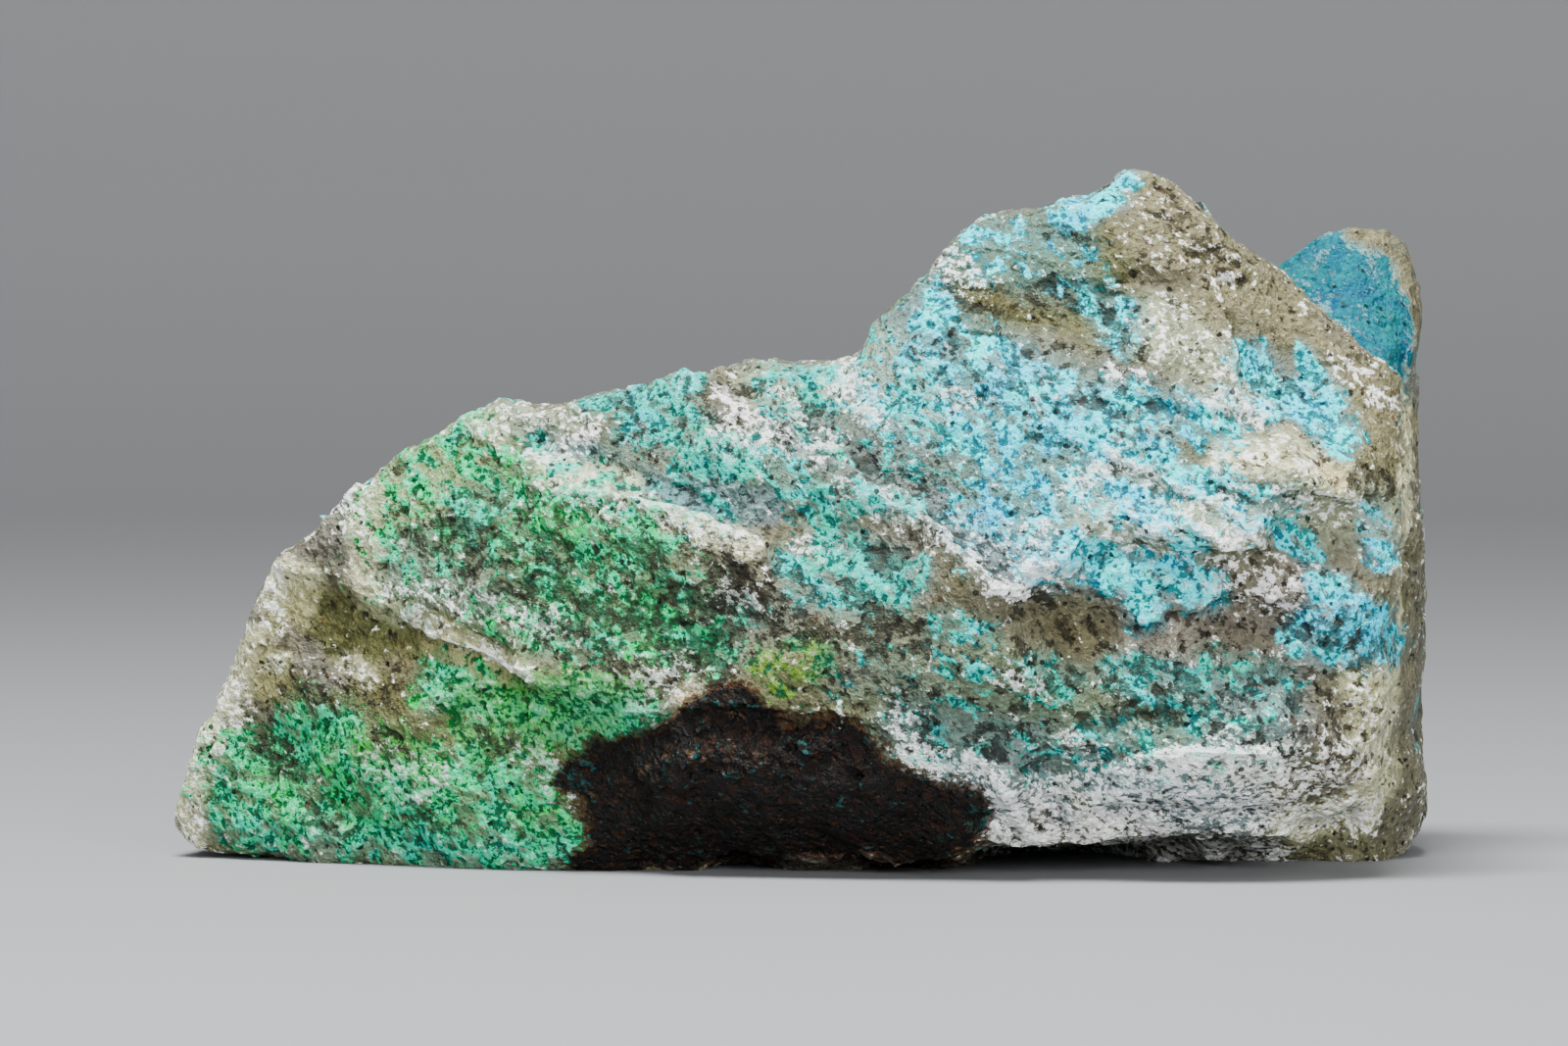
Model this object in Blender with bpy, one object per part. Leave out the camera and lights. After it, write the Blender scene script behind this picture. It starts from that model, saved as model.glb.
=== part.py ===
"""Cumengeite specimen: one loose, broken stone of granular quartz, about 53 mm wide.

The stone is one solid. Three rough masses are laid out by their corners: a low
shoulder on the left, a tall peak on the right and a round lobe behind the peak.
The two front masses are trimmed to the outline of the stone and all three are
joined. The joined body is then worked over with ledges, hollows, swellings and
a coarse lumpy grain, and last it is cut flat where it rests.

Sizes are in millimetres up to the last step: x runs to the right, y away from the
front face and z up.
"""

import math

import bmesh
import bpy
import numpy as np
from mathutils import Vector, noise

MM = 0.001
CELL = 0.42  # spacing of the points that the ledges and lumps are worked on
MOST_TRIANGLES = 9400
REST_CUT = 0.5  # height of the flat cut that the stone rests on

# The outline of the two front masses, seen square on, clockwise from the left foot.
LEFT_EDGE = [
    (-25.1, 1.0), (-25.8, 2.3), (-25.6, 3.7), (-25.0, 5.4), (-24.2, 7.0),
    (-23.1, 8.9), (-22.2, 11.0), (-21.7, 12.3), (-21.4, 13.2), (-20.6, 14.1),
    (-18.9, 15.2), (-17.7, 16.8), (-16.4, 18.0), (-15.2, 18.7), (-13.9, 19.5),
]
SHOULDER_EDGE = [
    (-12.8, 20.1), (-11.6, 20.2), (-10.3, 19.6), (-8.9, 19.9), (-7.8, 20.3),
    (-6.3, 20.8), (-4.4, 21.6), (-2.5, 21.8), (0.0, 21.3), (2.5, 21.6), (3.4, 22.1),
]
PEAK_EDGE = [
    (3.7, 23.1), (5.1, 24.4), (6.1, 25.8), (6.5, 26.7), (8.2, 27.8), (10.7, 27.8),
    (12.3, 28.7), (13.9, 30.0), (15.2, 29.7), (16.2, 28.6), (18.4, 26.3),
    (20.2, 25.3), (21.8, 23.7), (23.3, 22.2), (25.2, 21.1),
]
RIGHT_EDGE = [
    (25.3, 20.3), (25.3, 17.2), (25.0, 14.0), (24.7, 10.1), (24.6, 7.1),
    (24.3, 5.6), (24.2, 4.8), (23.7, 3.2), (22.3, 2.8),
]
BOTTOM_EDGE = [
    (22.0, -1.0), (-17.0, -1.0), (-22.0, 0.6),
]
OUTLINE = LEFT_EDGE + SHOULDER_EDGE + PEAK_EDGE + RIGHT_EDGE + BOTTOM_EDGE
OUTLINE_NEAR = -6.0
OUTLINE_FAR = 34.0

# Corners of the low shoulder on the left.
SHOULDER_FRONT = [
    (-26.0, 16.5, 2.3), (-25.4, 17.2, 1.0), (-25.3, 15.2, 5.2), (-24.5, 14.0, 7.4),
    (-21.9, 12.0, 11.6), (-21.5, 11.5, 13.4), (-17.9, 9.5, 17.0), (-14.4, 8.2, 19.5),
    (-12.6, 7.6, 20.4), (-8.0, 6.2, 20.8), (-3.4, 4.9, 22.1), (3.6, 4.4, 22.2),
    (-4.0, 2.5, 12.4), (-12.1, 6.3, 10.3), (0.0, 1.4, 16.4), (2.0, 0.4, 10.5),
    (2.0, 2.2, 4.4), (-6.0, 4.4, 5.0), (-18.6, 13.4, 1.6), (-14.4, 10.6, 1.0),
    (-8.0, 7.6, 0.9), (-1.6, 7.0, 1.5), (4.0, 5.8, 1.2), (8.4, -0.2, 14.0),
    (6.4, 0.0, 8.4), (8.0, 1.8, 3.6), (8.0, 4.6, 1.9),
]
SHOULDER_REAR = [
    (-25.0, 22.0, 2.0), (-23.4, 23.0, 6.4), (-20.6, 20.0, 12.2), (-15.4, 18.0, 16.0),
    (-9.0, 18.0, 18.0), (-2.0, 18.0, 19.4), (8.0, 19.0, 20.0), (-20.0, 26.6, 2.4),
    (-16.4, 25.4, 10.0), (-7.0, 29.0, 8.4), (-5.0, 25.0, 15.0), (8.0, 31.0, 7.0),
    (-8.0, 30.0, 2.0), (8.0, 31.6, 1.8),
]
SHOULDER_FOOT = [
    (-18.0, 17.6, -0.3), (-14.6, 11.0, -0.3), (-6.4, 9.0, -0.3), (-2.6, 13.6, -0.3),
    (3.6, 12.8, -0.3), (7.0, 17.0, -0.3), (-19.4, 23.6, -0.4), (-7.0, 28.4, -0.4),
    (8.0, 30.2, -0.4),
]

# Corners of the tall peak on the right.
PEAK_RIM = [
    (3.7, 4.0, 23.1), (5.1, 3.8, 24.4), (6.2, 4.0, 26.0), (8.2, 4.8, 27.9),
    (12.3, 5.0, 28.9), (14.0, 4.5, 30.4), (15.3, 5.4, 30.0), (18.4, 7.0, 26.3),
    (21.8, 6.4, 23.8), (25.3, 5.0, 21.1), (25.4, 3.0, 17.2), (25.1, 2.0, 14.0),
    (24.8, 1.7, 10.1), (24.6, 2.0, 7.1), (24.2, 2.8, 4.8), (22.6, 4.8, 2.8),
    (15.7, 4.4, 2.5), (12.1, 3.8, 2.1), (6.7, 4.0, 1.5),
]
PEAK_FRONT = [
    (13.9, 2.8, 27.4), (16.0, 2.6, 24.8), (18.0, 2.4, 22.8), (22.0, 2.4, 21.2),
    (23.8, 1.8, 17.6), (8.0, 2.2, 24.6), (5.0, 1.6, 19.6), (3.8, 0.2, 12.4),
    (8.4, -0.4, 15.6), (11.8, -1.1, 12.4), (17.0, -1.2, 15.0), (21.6, -0.6, 11.0),
    (5.9, -0.1, 8.4), (13.8, 0.0, 6.0), (20.8, 0.8, 5.6), (8.0, 1.8, 3.6),
    (0.0, 1.6, 16.0), (-1.0, 1.4, 10.5), (0.0, 3.4, 4.4),
]
PEAK_REAR = [
    (0.0, 10.0, 20.0), (9.0, 12.0, 23.4), (17.0, 13.0, 22.2), (24.4, 12.0, 17.6),
    (25.6, 13.0, 13.0), (25.8, 14.0, 7.0), (25.2, 14.0, 2.2), (-2.0, 20.0, 17.4),
    (9.0, 23.0, 19.0), (17.0, 24.0, 19.6), (0.0, 28.0, 10.0), (0.0, 12.0, 2.0),
    (14.0, 31.4, 12.0), (14.0, 32.4, 2.4), (21.0, 28.0, 17.0), (24.0, 29.6, 6.0),
]
PEAK_FOOT = [
    (0.0, 16.2, -0.3), (13.0, 19.0, -0.3), (22.6, 20.0, -0.4), (0.0, 29.6, -0.4),
    (14.0, 31.0, -0.4), (23.0, 28.4, -0.4),
]

# Corners of the round lobe behind the peak.
LOBE = [
    (21.2, 17.0, 25.3), (21.9, 17.8, 26.4), (23.2, 18.0, 27.0), (24.6, 18.6, 27.0),
    (26.2, 20.0, 26.8), (27.3, 21.4, 26.0), (27.5, 20.2, 24.0), (25.4, 16.4, 21.0),
    (25.2, 9.6, 17.4), (25.4, 10.0, 12.0), (25.4, 10.4, 6.0), (25.2, 12.4, 3.0),
    (26.0, 18.6, 19.0), (25.8, 19.0, 13.6), (26.7, 19.0, 7.7), (27.5, 19.0, 4.3),
    (27.8, 19.4, 1.8), (25.0, 15.4, -0.4), (18.6, 14.4, -0.4), (17.0, 18.4, 20.0),
    (20.0, 21.6, 25.8), (23.6, 24.6, 25.8), (25.8, 25.4, 22.6), (18.0, 26.0, 21.4),
    (26.0, 28.6, 14.0), (18.6, 31.0, 12.0), (26.4, 28.4, 4.0), (19.0, 31.2, 2.0),
    (24.8, 27.0, -0.4), (17.0, 29.4, -0.4), (14.0, 24.0, 16.0), (13.0, 26.0, 4.0),
]

# Corners of the arch that is hollow under the right part of the front.
ARCH_TOP = [
    (7.0, -4.0, 1.9), (21.0, -4.0, 2.4), (7.6, 4.0, 1.9), (20.6, 4.0, 2.2),
    (8.2, 15.0, 1.5), (15.4, 14.0, 1.5), (9.6, 21.6, 0.7), (13.0, 20.4, 0.7),
]
ARCH = ARCH_TOP + [(x, y, -5.0) for x, y, z in ARCH_TOP]
# Corners of the low arch left of it, under the black patch.
LOW_ARCH_TOP = [
    (-3.4, -4.0, 0.9), (-2.0, -4.0, 1.6), (-0.5, -4.0, 1.5), (0.6, -4.0, 0.9),
    (-2.8, 14.0, 0.6), (-2.0, 14.0, 0.8), (-0.6, 14.0, 0.8), (0.0, 14.0, 0.6),
]
LOW_ARCH = LOW_ARCH_TOP + [(x, y, -5.0) for x, y, z in LOW_ARCH_TOP]

# How far the right side of the rear mass reaches: height, most x.
REAR_RIGHT = [
    (0.0, 26.2), (1.8, 27.3), (4.3, 27.6), (7.7, 27.3), (13.6, 27.0), (19.0, 26.8),
    (21.5, 27.1), (24.0, 27.5), (25.6, 27.2), (27.4, 26.0),
]
FRONT_DEPTH = 15.5  # what lies nearer than this belongs to the front masses
DRAWN_BACK = 0.7  # share of what stands past the outline that is drawn back

# Ledges on the front: the path of the edge, how far the side below it stands out, how far
# the side above it falls back, and how far each of the two reaches.
LEDGES = {
    "groove_lip": dict(
        path=[(-12.6, 19.6), (-11.0, 18.2), (-8.3, 17.3), (-6.5, 16.5), (-5.0, 16.0),
              (-2.6, 15.2), (-1.1, 14.6), (-0.5, 13.6)],
        below=0.75, above=-0.7, reach_below=3.0, reach_above=1.7,
    ),
    "teal_lip": dict(
        path=[(-3.0, 21.0), (-0.4, 19.8), (1.4, 18.0), (3.5, 16.9), (5.1, 16.2), (6.0, 15.6),
              (6.8, 14.6), (8.6, 13.0)],
        below=0.55, above=-0.75, reach_below=2.2, reach_above=1.8,
    ),
    "blue_plates": dict(
        path=[(9.6, 12.6), (11.3, 13.2), (12.3, 14.4), (13.2, 15.0), (14.6, 14.5), (16.0, 13.9),
              (18.3, 13.7), (19.3, 14.4), (20.4, 15.6), (23.0, 15.8)],
        below=-0.85, above=0.95, reach_below=2.6, reach_above=2.6,
    ),
    "upper_plate": dict(
        path=[(12.7, 18.1), (14.2, 17.5), (15.7, 16.9), (17.5, 15.9), (18.8, 14.9)],
        below=-0.3, above=0.3, reach_below=1.2, reach_above=1.5,
    ),
    "left_ridge": dict(
        path=[(-21.0, 12.8), (-19.3, 12.5), (-17.4, 11.4), (-14.8, 11.0), (-12.2, 9.8),
              (-10.4, 8.4), (-7.0, 7.6)],
        below=-0.55, above=0.35, reach_below=2.0, reach_above=2.2,
    ),
    "white_rim": dict(
        path=[(8.6, 3.4), (11.6, 2.9), (15.0, 3.6), (19.0, 3.4), (23.6, 4.2)],
        below=-0.5, above=0.6, reach_below=1.2, reach_above=1.6,
    ),
    "frost_step": dict(
        path=[(10.0, 6.4), (12.6, 6.8), (15.4, 6.2), (19.0, 7.0), (22.4, 8.4)],
        below=0.4, above=-0.4, reach_below=1.6, reach_above=1.6,
    ),
    "black_edge": dict(
        path=[(-9.6, 3.6), (-8.0, 5.3), (-6.0, 6.5), (-3.6, 7.2), (-1.6, 7.2), (2.8, 6.9),
              (3.6, 5.7), (5.6, 4.7), (7.8, 4.3), (8.6, 2.8)],
        below=-0.35, above=0.3, reach_below=1.6, reach_above=1.2,
    ),
}

# Rounded swellings (height above 0) and hollows (below 0) on the front:
# middle x, z, half width, half height, turn in degrees, height.
SWELLINGS = {
    "cream_bump": (20.1, 17.4, 2.9, 1.3, -8, 0.85),
    "blue_recess": (20.9, 20.7, 2.7, 1.5, -38, -1.15),
    "shadow_hollow": (12.4, 10.5, 2.5, 1.9, -25, -1.1),
    "fan_chip": (14.2, 9.9, 1.0, 0.8, 20, 0.45),
    "brow_hollow": (10.6, 23.2, 3.0, 1.4, 8, -0.55),
    "pale_facet": (16.4, 22.4, 2.6, 1.5, -35, 0.45),
    "white_block": (-8.4, 18.9, 1.5, 1.0, 10, 0.7),
    "groove_head": (-10.0, 18.4, 1.4, 0.7, -20, -0.6),
    "green_swell": (-12.6, 14.2, 4.0, 2.0, -15, 0.55),
    "green_hollow": (-4.4, 11.0, 3.2, 1.5, -18, -0.6),
    "moss_bump": (-0.4, 9.4, 1.6, 0.9, -10, 0.55),
    "olive_facet": (-17.4, 9.4, 2.8, 1.3, -20, -0.5),
    "left_bump": (-20.4, 12.2, 1.1, 1.0, 0, 0.5),
    "lower_green_swell": (-15.6, 4.4, 4.6, 2.0, -12, 0.6),
    "lower_green_hollow": (-21.4, 5.2, 1.9, 1.2, -30, -0.5),
    "black_belly": (-0.6, 4.4, 5.6, 2.0, 0, 0.5),
    "teal_swell": (-2.4, 18.4, 3.0, 1.5, -20, 0.45),
    "teal_hollow": (1.4, 14.9, 1.8, 1.1, -35, -0.45),
    "grey_swell": (8.6, 8.9, 1.6, 1.8, 15, 0.45),
    "frost_ridge": (9.4, 4.2, 0.8, 1.9, 12, 0.6),
    "frost_groove": (10.6, 4.6, 0.55, 1.9, 22, -0.7),
    "frost_swell": (17.2, 4.9, 3.8, 1.1, 4, 0.45),
    "right_hollow": (19.6, 11.2, 2.2, 1.3, -12, -0.55),
    "right_swell": (22.8, 11.8, 1.3, 2.2, 5, 0.45),
    "corner_notch": (24.4, 5.5, 1.1, 0.35, 12, -0.8),
    "top_crack": (11.2, 26.5, 1.1, 0.3, -8, -0.45),
}

# Coarse lumps all over the stone: size of a lump, its height and a shift that picks the pattern.
LUMPS = [(6.4, 0.45, 11.0), (3.1, 0.34, 37.0), (1.6, 0.22, 71.0)]
CALM_SHARE = 0.5  # how much of that the front half takes
CALM_LOSS = 0.06  # and how far it lies deeper there, so that the lumps end on the outline
# Flat chips, each tilted its own way: size of a chip, how steep it is and a shift that picks the pattern.
CHIPS = [(7.0, 0.22, 5.0), (3.4, 0.2, 53.0)]

STONE_COLOUR = (0.46, 0.47, 0.36, 1.0)


def clear_scene():
    for item in list(bpy.data.objects):
        bpy.data.objects.remove(item)


def new_object(name, body):
    """Puts a finished mesh into the scene under this name."""
    mesh = bpy.data.meshes.new(name)
    bmesh.ops.recalc_face_normals(body, faces=body.faces)
    body.to_mesh(mesh)
    body.free()
    item = bpy.data.objects.new(name, mesh)
    bpy.context.scene.collection.objects.link(item)
    return item


def lump_of(name, corners):
    """A closed body with flat sides drawn tight round the corners."""
    body = bmesh.new()
    for corner in corners:
        body.verts.new(corner)
    made = bmesh.ops.convex_hull(body, input=list(body.verts))
    inside = [g for g in made["geom_interior"] if isinstance(g, bmesh.types.BMVert)]
    bmesh.ops.delete(body, geom=inside, context="VERTS")
    return new_object(name, body)


def outline_block(name):
    """A straight block with the outline of the stone, from front to back."""
    body = bmesh.new()
    front = body.faces.new([body.verts.new((x, OUTLINE_NEAR, z)) for x, z in OUTLINE])
    pushed = bmesh.ops.extrude_face_region(body, geom=[front])
    moved = [g for g in pushed["geom"] if isinstance(g, bmesh.types.BMVert)]
    bmesh.ops.translate(body, verts=moved, vec=(0.0, OUTLINE_FAR - OUTLINE_NEAR, 0.0))
    return new_object(name, body)


def combine(item, other, how):
    """Joins, trims or cuts the item by the other body, which is then removed."""
    step = item.modifiers.new(how.lower(), "BOOLEAN")
    step.operation = how
    step.solver = "EXACT"
    step.object = other
    settle(item)
    bpy.data.objects.remove(other)


def settle(item):
    """Replaces the item's mesh by what its modifiers make of it."""
    graph = bpy.context.evaluated_depsgraph_get()
    made = bpy.data.meshes.new_from_object(item.evaluated_get(graph))
    item.modifiers.clear()
    item.data = made


def rough_form():
    """The three masses, joined and given an even spacing of points."""
    stone = lump_of("specimen_stone", SHOULDER_FRONT + SHOULDER_REAR + SHOULDER_FOOT)
    combine(stone, lump_of("peak", PEAK_RIM + PEAK_FRONT + PEAK_REAR + PEAK_FOOT), "UNION")
    combine(stone, outline_block("outline"), "INTERSECT")
    combine(stone, lump_of("lobe", LOBE), "UNION")
    combine(stone, lump_of("arch", ARCH), "DIFFERENCE")
    combine(stone, lump_of("low_arch", LOW_ARCH), "DIFFERENCE")
    even = stone.modifiers.new("even", "REMESH")
    even.mode = "VOXEL"
    even.voxel_size = CELL
    settle(stone)
    return stone


def read_points(item):
    """The item's points and the directions that its surface faces there."""
    count = len(item.data.vertices)
    points = np.empty(count * 3)
    facing = np.empty(count * 3)
    item.data.vertices.foreach_get("co", points)
    item.data.vertices.foreach_get("normal", facing)
    return points.reshape(-1, 3), facing.reshape(-1, 3)


def write_points(item, points):
    item.data.vertices.foreach_set("co", points.ravel())
    item.data.update()


def from_path(x, z, path):
    """Distance from the path of a ledge, above 0 on its upper side."""
    nearest = np.full(x.shape, 1e9)
    side = np.zeros(x.shape)
    for (x0, z0), (x1, z1) in zip(path, path[1:]):
        dx, dz = x1 - x0, z1 - z0
        along = ((x - x0) * dx + (z - z0) * dz) / (dx * dx + dz * dz)
        along = np.clip(along, 0.0, 1.0)
        away = np.hypot(x - x0 - along * dx, z - z0 - along * dz)
        turn = dx * (z - z0) - dz * (x - x0)
        side = np.where(away < nearest, turn, side)
        nearest = np.minimum(nearest, away)
    return np.where(side >= 0.0, nearest, -nearest)


def end_fade(x, z, path, length):
    """1 along the path, falling to 0 past its two ends."""
    fade = np.ones(x.shape)
    for (x0, z0), (x1, z1) in ((path[0], path[1]), (path[-1], path[-2])):
        reach = math.hypot(x1 - x0, z1 - z0)
        past = -((x - x0) * (x1 - x0) + (z - z0) * (z1 - z0)) / reach
        fade *= np.clip(1.0 - past / length, 0.0, 1.0)
    return fade


def ledge_height(x, z, path, below, above, reach_below, reach_above):
    """How far one ledge moves the front out."""
    away = from_path(x, z, path)
    upper = above * np.exp(-np.maximum(away, 0.0) / reach_above)
    lower = below * np.exp(-np.maximum(-away, 0.0) / reach_below)
    mix = np.clip(0.5 + away / 0.5, 0.0, 1.0)
    return (upper * mix + lower * (1.0 - mix)) * end_fade(x, z, path, 2.0)


def swelling_height(x, z, middle_x, middle_z, half_width, half_height, turn, height):
    """How far one swelling or hollow moves the front out."""
    turn = math.radians(turn)
    u = ((x - middle_x) * math.cos(turn) + (z - middle_z) * math.sin(turn)) / half_width
    v = ((z - middle_z) * math.cos(turn) - (x - middle_x) * math.sin(turn)) / half_height
    return height * np.exp(-((u * u + v * v) ** 1.4))


def carve_front(item):
    """Works the ledges, swellings and hollows into what faces the front."""
    points, facing = read_points(item)
    x, z = points[:, 0], points[:, 2]
    height = np.zeros(x.shape)
    for ledge in LEDGES.values():
        height += ledge_height(x, z, **ledge)
    for swelling in SWELLINGS.values():
        height += swelling_height(x, z, *swelling)
    share = np.clip((-facing[:, 1] - 0.1) / 0.45, 0.0, 1.0)
    share *= points[:, 1] < FRONT_DEPTH
    points[:, 1] -= height * share
    write_points(item, points)


def lump_height(point, size, shift):
    """A field of rounded lumps with sharp valleys between them, from -1 to 1."""
    near = noise.voronoi(point / size + Vector((shift, shift, shift)))[0]
    return 1.0 - 2.0 * min(near[0] / 0.72, 1.0)


def chip_height(point, size, steepness, shift):
    """A field of flat chips that step against each other, in millimetres."""
    spot = point / size + Vector((shift, shift, shift))
    middle = noise.voronoi(spot)[1][0]
    tilt = noise.cell_vector(middle * 91.7) * 2.0 - Vector((1.0, 1.0, 1.0))
    return tilt.dot(spot - middle) * size * steepness


def roughen(item):
    """Covers the stone with coarse lumps and chips."""
    points, facing = read_points(item)
    for i, (point, way) in enumerate(zip(points, facing)):
        here = Vector(point)
        height = 0.0
        for size, most, shift in LUMPS:
            height += most * lump_height(here, size, shift) * 0.5
        for size, steepness, shift in CHIPS:
            height += chip_height(here, size, steepness, shift)
        calm = min(max((27.0 - point[1]) / 5.0, -way[2] * 0.8, 0.0), 1.0)
        height = height * (1.0 - (1.0 - CALM_SHARE) * calm) - CALM_LOSS * calm
        points[i] = point + way * height
    write_points(item, points)


def from_outline(x, z):
    """Where the outline is nearest to each place, and whether the place is inside it."""
    nearest = np.full(x.shape, 1e9)
    inside = np.zeros(x.shape, dtype=bool)
    on_x, on_z = x.copy(), z.copy()
    for (x0, z0), (x1, z1) in zip(OUTLINE, OUTLINE[1:] + OUTLINE[:1]):
        dx, dz = x1 - x0, z1 - z0
        along = np.clip(((x - x0) * dx + (z - z0) * dz) / (dx * dx + dz * dz), 0.0, 1.0)
        away = np.hypot(x - x0 - along * dx, z - z0 - along * dz)
        on_x = np.where(away < nearest, x0 + along * dx, on_x)
        on_z = np.where(away < nearest, z0 + along * dz, on_z)
        nearest = np.minimum(nearest, away)
        crosses = (z0 > z) != (z1 > z)
        inside ^= crosses & (x < x0 + (z - z0) * dx / (dz if dz else 1.0))
    return on_x, on_z, inside


def keep_inside(item):
    """Draws back what the lumps pushed past the outline."""
    points, _ = read_points(item)
    x, y, z = points.T.copy()
    on_x, on_z, inside = from_outline(x, z)
    near = np.clip((FRONT_DEPTH - y) / 7.0, 0.0, 1.0)
    back = ~inside * (z > REST_CUT) * near * DRAWN_BACK
    points[:, 0] += (on_x - x) * back
    points[:, 2] += (on_z - z) * back
    most = np.interp(z, [level for level, _ in REAR_RIGHT], [edge for _, edge in REAR_RIGHT])
    points[:, 0] -= np.maximum(points[:, 0] - most, 0.0) * DRAWN_BACK
    write_points(item, points)


def smooth(item, rounds):
    """Evens out single spikes without losing the lumps."""
    body = bmesh.new()
    body.from_mesh(item.data)
    for _ in range(rounds):
        bmesh.ops.smooth_vert(
            body, verts=body.verts, factor=0.35, use_axis_x=True, use_axis_y=True, use_axis_z=True)
    body.to_mesh(item.data)
    body.free()


def thin_out(item):
    """Keeps the points that the form needs."""
    body = bmesh.new()
    body.from_mesh(item.data)
    bmesh.ops.triangulate(body, faces=body.faces)
    triangles = len(body.faces)
    body.to_mesh(item.data)
    body.free()
    fewer = item.modifiers.new("fewer", "DECIMATE")
    fewer.ratio = min(1.0, MOST_TRIANGLES / triangles)
    settle(item)


def cut_rest(item):
    """Cuts the stone flat where it rests."""
    body = bmesh.new()
    bmesh.ops.create_cube(body, size=80.0)
    bmesh.ops.translate(body, verts=body.verts, vec=(0.0, 10.0, REST_CUT - 40.0))
    combine(item, new_object("below", body), "DIFFERENCE")


def settle_frame(item):
    """Puts the middle of the stone's box over the origin, its rest at z = 0, in metres."""
    points, _ = read_points(item)
    low, high = points.min(axis=0), points.max(axis=0)
    middle = (low + high) / 2.0
    middle[2] = low[2]
    write_points(item, (points - middle) * MM)


def stone_material(item):
    look = bpy.data.materials.new("quartz_with_crusts")
    look.use_nodes = True
    shader = look.node_tree.nodes["Principled BSDF"]
    shader.inputs["Base Color"].default_value = STONE_COLOUR
    shader.inputs["Roughness"].default_value = 0.7
    shader.inputs["Metallic"].default_value = 0.0
    item.data.materials.clear()
    item.data.materials.append(look)


def specimen_stone():
    stone = rough_form()
    carve_front(stone)
    roughen(stone)
    smooth(stone, 1)
    keep_inside(stone)
    thin_out(stone)
    cut_rest(stone)
    settle_frame(stone)
    stone_material(stone)
    return stone


clear_scene()
specimen_stone()
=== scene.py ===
"""Cumengeite specimen: a broken stone of granular quartz with blue and green crusts.

The stone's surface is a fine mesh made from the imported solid. Places on its front are given
in points of the front view, about 25 to a millimetre, x to the right and y down.
"""
import math

import bmesh
import bpy
import numpy as np
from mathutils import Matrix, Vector, noise


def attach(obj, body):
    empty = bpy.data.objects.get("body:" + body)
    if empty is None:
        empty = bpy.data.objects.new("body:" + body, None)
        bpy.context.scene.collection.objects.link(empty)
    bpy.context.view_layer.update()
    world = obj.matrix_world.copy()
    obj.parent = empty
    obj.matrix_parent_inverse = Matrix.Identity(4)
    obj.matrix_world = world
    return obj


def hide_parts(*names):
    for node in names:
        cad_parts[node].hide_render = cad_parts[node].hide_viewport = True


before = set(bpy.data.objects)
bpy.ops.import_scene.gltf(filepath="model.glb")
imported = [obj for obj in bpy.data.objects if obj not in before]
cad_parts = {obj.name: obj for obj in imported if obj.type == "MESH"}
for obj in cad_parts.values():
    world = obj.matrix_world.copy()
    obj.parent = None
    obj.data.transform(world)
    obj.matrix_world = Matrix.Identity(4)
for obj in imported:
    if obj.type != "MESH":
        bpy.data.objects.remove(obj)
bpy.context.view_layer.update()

noise.seed_set(7)        # unseeded, noise_vector differs from run to run

MM = 0.001
MIDDLE = (0.835, 15.446, 0.5)  # the part's origin in the front view's axes, mm
EYE = (0.0, -300.0, 22.0)  # the camera in those axes, mm
EYE_POINTS = 7620.0      # focal length in points
LEVEL_ROW = 358.2        # row of the view that lies level with the camera
CELL = 0.415             # spacing of the surface's points, mm; the front has half of it
LARGE_CHIP = 1.5         # sizes of the flat chips, mm
SMALL_CHIP = 0.62
FLOOR_SIDES = 96
WALL = ((0.4, 0.0), (0.70, 0.0), (0.82, 0.01), (0.94, 0.05), (1.03, 0.13), (1.08, 0.24), (1.10, 0.36))
TOP_LAMP = (-0.04, -0.13, 0.32)


# ---------------------------------------------------------------- places on the front

def seen_at(points):
    """Where points of the stone (mm, own axes) show in the front view."""
    x = points[:, 0] + MIDDLE[0] - EYE[0]
    depth = points[:, 1] + MIDDLE[1] - EYE[1]
    z = points[:, 2] + MIDDLE[2] - EYE[2]
    return 800.0 + EYE_POINTS * x / depth, LEVEL_ROW - EYE_POINTS * z / depth


def from_line(u, v, path):
    """Distance in points from a line through the given places."""
    nearest = np.full(u.shape, 1e9)
    if len(path) == 1:
        return np.hypot(u - path[0][0], v - path[0][1])
    for (u0, v0), (u1, v1) in zip(path, path[1:]):
        du, dv = u1 - u0, v1 - v0
        along = np.clip(((u - u0) * du + (v - v0) * dv) / (du * du + dv * dv + 1e-9), 0.0, 1.0)
        nearest = np.minimum(nearest, np.hypot(u - u0 - along * du, v - v0 - along * dv))
    return nearest


def above_line(u, v, path):
    """Distance in points from a line, over 0 on its upper side."""
    nearest = np.full(u.shape, 1e9)
    side = np.zeros(u.shape)
    for (u0, v0), (u1, v1) in zip(path, path[1:]):
        du, dv = u1 - u0, v1 - v0
        along = np.clip(((u - u0) * du + (v - v0) * dv) / (du * du + dv * dv), 0.0, 1.0)
        away = np.hypot(u - u0 - along * du, v - v0 - along * dv)
        side = np.where(away < nearest, dv * (u - u0) - du * (v - v0), side)
        nearest = np.minimum(nearest, away)
    return np.where(side >= 0.0, nearest, -nearest)


def past_ends(u, v, path, length):
    """1 along a line, falling to 0 past its two ends."""
    fade = np.ones(u.shape)
    for (u0, v0), (u1, v1) in ((path[0], path[1]), (path[-1], path[-2])):
        past = -((u - u0) * (u1 - u0) + (v - v0) * (v1 - v0)) / math.hypot(u1 - u0, v1 - v0)
        fade *= np.clip(1.0 - past / length, 0.0, 1.0)
    return fade


def soft(value, low, high):
    """A smooth step from 0 at low to 1 at high."""
    t = np.clip((value - low) / (high - low), 0.0, 1.0)
    return t * t * (3.0 - 2.0 * t)


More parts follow.
